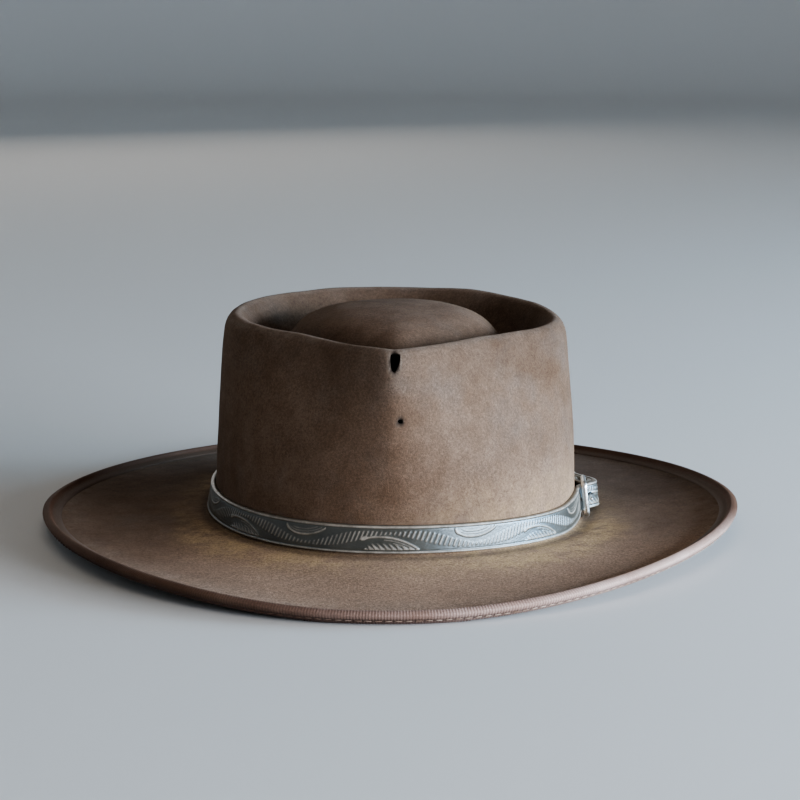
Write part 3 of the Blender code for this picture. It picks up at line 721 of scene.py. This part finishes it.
def strap_course():
    """The strap's way from its folded end to its free end: (angle, out, share of its height)."""
    heel, front = BUCKLE_BEHIND + BAR_SPAN / 2, BUCKLE_BEHIND - BAR_SPAN / 2
    course = [(behind(heel + STRAP_TAIL * share), FLAT, 1.0) for share in (0.95, 0.5, 0.0)]
    for bend in map(radians, (45, 90, 135)):
        out = FLAT + FOLD_RADIUS * (1 - cos(bend))
        course.append((behind(heel - FOLD_RADIUS * sin(bend)), out, 1.0))
    course += [(behind(where), out, 1.0) for where, out in over_heel(heel, 0.0)]
    start, end = behind(heel + STRAP_TAIL + STRAP_SETTLE), behind(front - STRAP_SETTLE, lap=1)
    sections = round((end - start) * BASE[0] / SECTION_SPACING)
    course += [(blend(start, end, step / sections), FLAT, 1.0) for step in range(1, sections + 1)]
    clear = FOLD_RADIUS + LAYER
    rising = [
        (front, FLAT),
        (front + BAR_SPAN * 0.20, FLAT + 0.12 * DOUBLED),
        (heel - clear * 0.66, BAR_OUT + clear * 0.80),
        (heel - clear * 0.30, BAR_OUT + clear * 0.98),
    ]
    course += [(behind(where, lap=1), out, 1.0) for where, out in rising + over_heel(heel, LAYER)]
    return course + [(behind(heel + STRAP_FREE_END * (1 - left), lap=1), FLAT + LAYER, height)
                     for left, height in POINTED_END]


edges = []
for angle, out, share in strap_course():
    lift = strap_lift(angle)
    low, high = (wall_at(angle, height) + out * outward(angle) for height in (lift, lift + STRAP_HEIGHT))
    edges.append((blend(high, low, 0.5 + share / 2), blend(low, high, 0.5 + share / 2)))
fine = smooth_rows(edges, STRAP_ROW_SPACING)
bottom, top, middle = fine[:, 0], fine[:, 1], fine.mean(axis=1)
run = np.gradient(middle, axis=0)
face = unit(np.stack((run[:, 1], -run[:, 0], np.zeros(len(run))), axis=1))
along = lengths_along(middle)
front_row = np.argmin(np.abs(middle[:, 0] - CROWN_SHIFT) + (middle[:, 1] > 0))

# The tooling's sizes are in mm, along the strap from the hat's front and up it from its lower edge.
TALL = STRAP_HEIGHT * 1000
BORDER, GROOVE, GROOVE_HALF_WIDTH, FIELD = 1.0, 1.35, 0.18, 1.55
HALF_WAVE, VINE_START, VINE_SWING, VINE_SAG = 39.3, -2.2, 2.85, 0.45
BAR_PITCH, BAR_HALF_SHARE, BAR_SLANT, BAR_LENGTH = 2.05, 0.18, 0.42, (0.50, 1.75)
BARBED_LEAF, PLAIN_LEAF = (12.6, 7.4), (10.4, 5.6)          # half width, height
LEAF_FOOT, BARB_PITCH, BARB_FOOT, BARB_SLANT = 1.9, 2.5, 1.8, 0.95
RAISED, SUNK, UNEVEN, ROUNDED_EDGE, EDGE_ROUNDING = 0.23, 0.14, 0.025, 0.45, 0.55


def soft_line(value, half_width, blur=0.18):
    return 1 - smoothstep(half_width - blur, half_width + blur, np.abs(value))


def leaf_marks(u, up, arch, veins):
    """A leaf's arched rib with a bulb at its stalk, and finer ribs at places under the arch."""
    marks = soft_line(up - arch, 0.40 + 0.50 * near(u + 0.90, 0.09))
    for below, start in veins:
        vein = 0.7 * soft_line(up - (arch - below), 0.20, 0.14)
        marks = np.maximum(marks, vein * (u > start) * (arch > below + LEAF_FOOT))
    return marks * (np.abs(u) < 0.99)


def plain_leaf(s, up, middle):
    half_width, tall = PLAIN_LEAF
    u = (s - middle) / half_width
    bow = np.clip(1 - np.abs(u + 0.18 * (1 - u * u)) ** 2.3, 0, None) ** 0.8
    arch = LEAF_FOOT + (tall - LEAF_FOOT) * bow
    marks = leaf_marks(u, up, arch, ((1.2, -0.8), (2.3, -0.6)))
    return marks, smoothstep(0.2, 0.8, arch - up) * (np.abs(u) < 0.99)


def barbed_leaf(s, up, middle):
    half_width, tall = BARBED_LEAF
    u = (s - middle) / half_width
    inside = np.abs(u) < 0.99
    bow = np.clip(1 - np.abs((u + 0.35) / 1.35) ** 2.2, 0, None)
    arch = LEAF_FOOT + (tall - LEAF_FOOT) * bow
    tip = BARB_FOOT + 0.58 * (arch - BARB_FOOT) * smoothstep(-1.0, -0.6, u)
    width = 0.48 * (1 - (up - BARB_FOOT) / np.maximum(tip - BARB_FOOT, 0.1))
    slant = (s + (up - BARB_FOOT) * BARB_SLANT) / BARB_PITCH
    barbs = smoothstep(-0.05, 0.10, width - np.abs(slant - np.round(slant)))
    barbs = barbs * (up > BARB_FOOT - 0.1) * (up < tip) * inside
    marks = leaf_marks(u, up, arch, ((1.25, -0.2), (2.3, 0.1)))
    return np.maximum(marks, barbs), smoothstep(0.2, 0.8, arch - up) * inside


def vine_and_leaves(s, up):
    """The tooled pattern of the field: leaves from both borders in turn, and bars along the vine."""
    tooling, covered = np.zeros_like(s), np.zeros_like(s)
    for k in range(int(s.min() // HALF_WAVE) - 1, int(s.max() // HALF_WAVE) + 2):
        middle = VINE_START + HALF_WAVE * k
        marks, under_leaf = plain_leaf(s, TALL - up, middle) if k % 2 else barbed_leaf(s, up, middle)
        tooling = np.maximum(tooling, marks)
        covered = np.maximum(covered, under_leaf)
    phase = (s - VINE_START) * pi / HALF_WAVE
    off_vine = up - (TALL / 2 + VINE_SAG * np.sin(phase) ** 2 + VINE_SWING * np.cos(phase))
    slant = (s - off_vine * BAR_SLANT) / BAR_PITCH
    length = BAR_LENGTH[0] + BAR_LENGTH[1] * np.abs(np.sin(phase)) ** 1.5
    bars = soft_line(slant - np.round(slant), BAR_HALF_SHARE, 0.09)
    bars = bars * (1 - smoothstep(length - 0.15, length + 0.25, np.abs(off_vine)))
    return np.maximum(tooling, 0.85 * bars * (1 - covered))


from_front = (along - along[front_row]) * 1000
s, up = np.meshgrid(from_front, np.linspace(0.02, 0.98, STRAP_COLUMNS) * TALL, indexing="ij")
from_edge = np.minimum(up, TALL - up)
border = smoothstep(0.0, 0.30, from_edge) * (1 - smoothstep(BORDER - 0.15, BORDER + 0.15, from_edge))
groove = soft_line(from_edge - GROOVE, GROOVE_HALF_WIDTH, 0.14)
field = smoothstep(FIELD - 0.15, FIELD + 0.15, from_edge)
raised = np.maximum(border, vine_and_leaves(s, up) * field)
flat_places = np.stack((s.ravel(), up.ravel(), np.zeros(s.size)), axis=1)
ground_grain = waves(flat_places, (1.1, 0.7), 3).reshape(s.shape)
relief = RAISED * raised - SUNK * groove + UNEVEN * ground_grain * field - RAISED
at_edge = 1 - np.clip(from_edge / EDGE_ROUNDING, 0, 1)
relief -= ROUNDED_EDGE * (1 - np.sqrt(np.clip(1 - at_edge ** 2, 0, 1)))
share = (up / TALL)[..., None]
outer_skin = bottom[:, None] * (1 - share) + top[:, None] * share
outer_skin += face[:, None] * (STRAP / 2 + relief / 1000)[..., None]
back_share = np.array([1.0, 0.5, 0.0])[None, :, None]
back_skin = bottom[:, None] * (1 - back_share) + top[:, None] * back_share - face[:, None] * STRAP / 2
strap_grid = np.concatenate((outer_skin, back_skin), axis=1)
rows, loop = strap_grid.shape[:2]
strap_faces = [(first, fourth, third, second) for first, second, third, fourth in loop_faces(0, loop, rows)]
strap_faces += [tuple(range(loop)), tuple(range(rows * loop - 1, (rows - 1) * loop - 1, -1))]
strap = add_piece("tooled_strap", strap_grid, strap_faces)
back_values = np.zeros((rows, back_share.size))
give_values(strap, "raised", np.concatenate((raised, back_values), axis=1))
cut_in = np.maximum(groove, (1 - raised) * field * 0.5)
give_values(strap, "cut_in", np.concatenate((cut_in, back_values), axis=1))

bar_ends = []
for side in (-1, 1):
    angle = behind(BUCKLE_BEHIND + side * BAR_SPAN / 2)
    bar_ends.append(Vector(wall_at(angle, strap_lift(angle) + STRAP_HEIGHT / 2) + BAR_OUT * outward(angle)))
angle = behind(BUCKLE_BEHIND)
upright = Vector(wall_at(angle, strap_lift(angle) + STRAP_HEIGHT) - wall_at(angle, strap_lift(angle)))
way = (bar_ends[1] - bar_ends[0]).normalized()
out = way.cross(upright).normalized()
buckle_turn = Matrix((way, out.cross(way), out)).transposed().to_4x4()
buckle_axes = Matrix.Translation((bar_ends[0] + bar_ends[1]) / 2) @ buckle_turn

play = PRONG_WIRE + 2 * SLOT_PLAY
slot_radius = FOLD_RADIUS + STRAP / 2 + GAP / 2
slot_place = Matrix.Translation((BAR_SPAN / 2, 0, 0)) @ Matrix.Rotation(pi / 2, 4, "X")
slot_size = Matrix.Diagonal((slot_radius, slot_radius, 1.0, 1.0))
slot_cutter = add_bar("slot_cutter", play, buckle_axes @ slot_place @ slot_size)
prong_out = BUCKLE_WIRE / 2 + GAP + PRONG_WIRE / 2
start, end = -BAR_SPAN * 0.30, BAR_SPAN / 2 - FOLD_RADIUS
hole_place = Matrix.Translation(((start + end) / 2, 0, prong_out)) @ Matrix.Rotation(pi / 2, 4, "Y")
hole_size = Matrix.Diagonal((play / 2 * HOLE_PLAY, play / 2 * HOLE_PLAY, 1.0, 1.0))
hole_cutter = add_bar("hole_cutter", end - start, buckle_axes @ hole_place @ hole_size, sides=24)
cut_out(strap, [slot_cutter, hole_cutter])

strap_finish, tree, shader, place = new_finish("tooled_leather")
pores = grain(tree, place, 1300.0, 4.0, 0.65)
stains = ramp(tree, grain(tree, place, 75.0, 4.0, 0.65), 0.35, 0.65)
colour = mixed(tree, stains, (0.050, 0.043, 0.030), (0.092, 0.080, 0.060))
rubs = ramp(tree, grain(tree, place, 190.0, 4.0, 0.7), 0.30, 0.66, 0.25, 1.0)
rubbed_tops = product(tree, piece_value(tree, "raised"), rubs)
colour = mixed(tree, rubbed_tops, colour, (0.410, 0.355, 0.295))
colour = mixed(tree, product(tree, piece_value(tree, "cut_in"), 0.5), colour, (0.026, 0.024, 0.022))
colour = mixed(tree, 0.35, colour, ramp(tree, pores, 0.25, 0.75, 0.25, 0.8), "OVERLAY")
tree.links.new(colour, shader.inputs["Base Color"])
tree.links.new(ramp(tree, rubbed_tops, 0.0, 1.0, 0.34, 0.46), shader.inputs["Roughness"])
add_relief(tree, shader, pores, 0.25, 0.0002)
# The blue specular tint is a painted reflection: it colours the leather's gloss blue, as the reflection of
# cool light.
set_shader(shader, Specular_IOR_Level=1.0, Specular_Tint=(0.74, 0.91, 1.0, 1.0), Coat_Weight=0.25,
           Coat_Roughness=0.36)
strap.data.materials.append(strap_finish)
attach(strap, "root")
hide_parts("hatband")


# Buckle: a frame of round wire with a thicker front bar, held by the strap's fold, and a prong whose eye
# goes round the heel bar. The prong comes out through the strap and lies on the front bar.
BUCKLE_FRONT_BAR, BUCKLE_CORNER, CORNER_STEPS, FRAME_SIDES = 0.0032, 0.0020, 8, 20
RAIL_SPAN = STRAP_HEIGHT + 2 * GAP + BUCKLE_WIRE
PRONG_TIP, PRONG_SIDES, EYE_STEPS, STEM_STEPS = 0.0016, 16, 24, 9
ROUNDED_TIP = ((0.4, 1.0), (0.75, 0.86), (0.95, 0.55), (1.0, 0.25))    # share of the tip, thickness
X, Y, Z = Vector((1, 0, 0)), Vector((0, 1, 0)), Vector((0, 0, 1))


def add_wire(name, path, upright, radius, sides, closed):
    """Round wire along (place, sideways) pairs in the buckle's axes, with flat caps on its ends where it is
    open.
    """
    loops = []
    for place, sideways in path:
        rise = upright * sideways.length
        loops.append([buckle_axes @ (place + radius * (cos(turn) * sideways + sin(turn) * rise))
                      for turn in (2 * pi * (side + 0.5) / sides for side in range(sides))])
    faces = loop_faces(0, sides, len(loops), closed=closed)
    if not closed:
        faces += [list(range(sides))[::-1], list(range((len(loops) - 1) * sides, len(loops) * sides))]
    piece = add_piece(name, [tuple(point) for loop in loops for point in loop], faces)
    bm = bmesh.new()
    bm.from_mesh(piece.data)
    bmesh.ops.recalc_face_normals(bm, faces=bm.faces)
    bm.to_mesh(piece.data)
    bm.free()
    piece.data.shade_smooth()
    return piece


frame_path = []
for corner, (x, y) in enumerate(((1, 1), (-1, 1), (-1, -1), (1, -1))):
    centre = Vector((x * (BAR_SPAN / 2 - BUCKLE_CORNER), y * (RAIL_SPAN / 2 - BUCKLE_CORNER), 0))
    for step in range(CORNER_STEPS + 1):
        turn = pi / 2 * (corner + step / CORNER_STEPS)
        away = Vector((cos(turn), sin(turn), 0))
        thick = blend(1.0, BUCKLE_FRONT_BAR / BUCKLE_WIRE, float(smoothstep(0.0, 0.9, -away.x)))
        frame_path.append((centre + BUCKLE_CORNER * away, thick * away))
buckle = add_wire("wire_buckle", frame_path, Z, BUCKLE_WIRE / 2, FRAME_SIDES, True)

heel_bar = BAR_SPAN / 2
over_bar = BUCKLE_FRONT_BAR / 2 + GAP + PRONG_WIRE / 2
prong_path = []
for step in range(EYE_STEPS + 1):
    turn = radians(blend(-200, 90, step / EYE_STEPS))
    away = Vector((cos(turn), 0, sin(turn)))
    prong_path.append((heel_bar * X + prong_out * away, away))
for share in np.linspace(0.12, 1.0, STEM_STEPS).tolist():
    prong_path.append((blend(heel_bar, -heel_bar, share) * X + blend(prong_out, over_bar, share) * Z, Z))
for past, size in ROUNDED_TIP:
    prong_path.append(((-heel_bar - PRONG_TIP * past) * X + over_bar * Z, size * Z))
prong = add_wire("buckle_tongue", prong_path, Y, PRONG_WIRE / 2, PRONG_SIDES, False)

metal_finish, tree, shader, place = new_finish("dulled_nickel")
film = grain(tree, place, 260.0, 4.0, 0.7)
colour = mixed(tree, ramp(tree, film, 0.40, 0.70), (0.860, 0.870, 0.855), (0.600, 0.595, 0.570))
tree.links.new(colour, shader.inputs["Base Color"])
tree.links.new(ramp(tree, film, 0.30, 0.70, 0.20, 0.42), shader.inputs["Roughness"])
add_relief(tree, shader, grain(tree, place, 2200.0, 3.0), 0.12, 0.0001)
set_shader(shader, Metallic=1.0)
for piece, cad in ((buckle, "buckle_frame"), (prong, "buckle_prong")):
    piece.data.materials.append(metal_finish)
    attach(piece, "root")
    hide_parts(cad)


# Floor, light and camera: a plain pale floor that curves up all round, two broad soft lights low at the
# right, weak ones from above, the left and behind, and the camera at the photograph's angle.
FLOOR_REACH, FLOOR_CURVE, FLOOR_TOP, FLOOR_SIDES = 2.6, 1.4, 4.5, 96
WARM, CAMERA_PITCH = (1.0, 0.90, 0.80), radians(11.10)

profile = [(FLOOR_REACH, 0.0)]
profile += [(FLOOR_REACH + FLOOR_CURVE * sin(turn), FLOOR_CURVE * (1 - cos(turn)))
            for turn in np.linspace(0.1, pi / 2, 12)]
profile.append((FLOOR_REACH + FLOOR_CURVE, FLOOR_TOP))
turns = np.arange(FLOOR_SIDES) * 2 * pi / FLOOR_SIDES
floor_points = [(reach * cos(turn), reach * sin(turn), z) for reach, z in profile for turn in turns]
floor_faces = [face[::-1] for face in loop_faces(0, FLOOR_SIDES, len(profile))]
floor_faces += fan_faces(0, FLOOR_SIDES, len(floor_points))
floor = add_piece("floor", floor_points + [(0.0, 0.0, 0.0)], floor_faces)
floor_finish, tree, shader, place = new_finish("pale_floor")
set_shader(shader, Base_Color=(0.70, 0.69, 0.67, 1.0), Roughness=0.85, Specular_IOR_Level=0.2)
floor.data.materials.append(floor_finish)


def add_light(name, place, target, size, power, colour):
    light = bpy.data.lights.new(name, "AREA")
    light.shape = "RECTANGLE"
    light.size, light.size_y = size
    light.energy, light.color = power, colour
    item = bpy.data.objects.new(name, light)
    item.location = place
    item.rotation_euler = (Vector(target) - Vector(place)).to_track_quat("-Z", "Y").to_euler()
    bpy.context.collection.objects.link(item)


add_light("window_light", (1.50, -0.80, 0.33), (0.02, 0.0, 0.05), (1.6, 0.45), 68.0, (0.80, 0.88, 1.0))
add_light("side_light", (1.66, 0.10, 0.33), (0.02, 0.0, 0.05), (0.9, 0.40), 42.0, (0.46, 0.73, 1.0))
add_light("top_light", (-0.05, -0.95, 1.65), (0.0, 0.0, 0.0), (1.2, 0.8), 4.8, WARM)
add_light("left_light", (-1.5, -1.3, 0.9), (0.0, 0.0, 0.05), (1.2, 1.2), 0.2, (1.0, 0.86, 0.72))
add_light("back_light", (-0.6, 1.8, 0.60), (0.0, 0.0, 0.05), (1.6, 0.7), 3.2, WARM)
world = bpy.data.worlds.new("studio")
world.use_nodes = True
background = world.node_tree.nodes["Background"]
background.inputs["Color"].default_value = (*WARM, 1.0)
background.inputs["Strength"].default_value = 0.06
bpy.context.scene.world = world

camera_data = bpy.data.cameras.new("camera")
camera_data.lens, camera_data.sensor_width = 116.15, 36.0
camera_data.clip_start, camera_data.clip_end = 0.05, 30.0
camera = bpy.data.objects.new("camera", camera_data)
camera.location = (0.0047, -1.2007, 0.2947)
camera.rotation_euler = (pi / 2 - CAMERA_PITCH, 0.0, 0.0)
bpy.context.collection.objects.link(camera)
bpy.context.scene.camera = camera
bpy.context.scene.view_settings.view_transform = "AgX"
bpy.context.scene.view_settings.look = "AgX - Medium High Contrast"
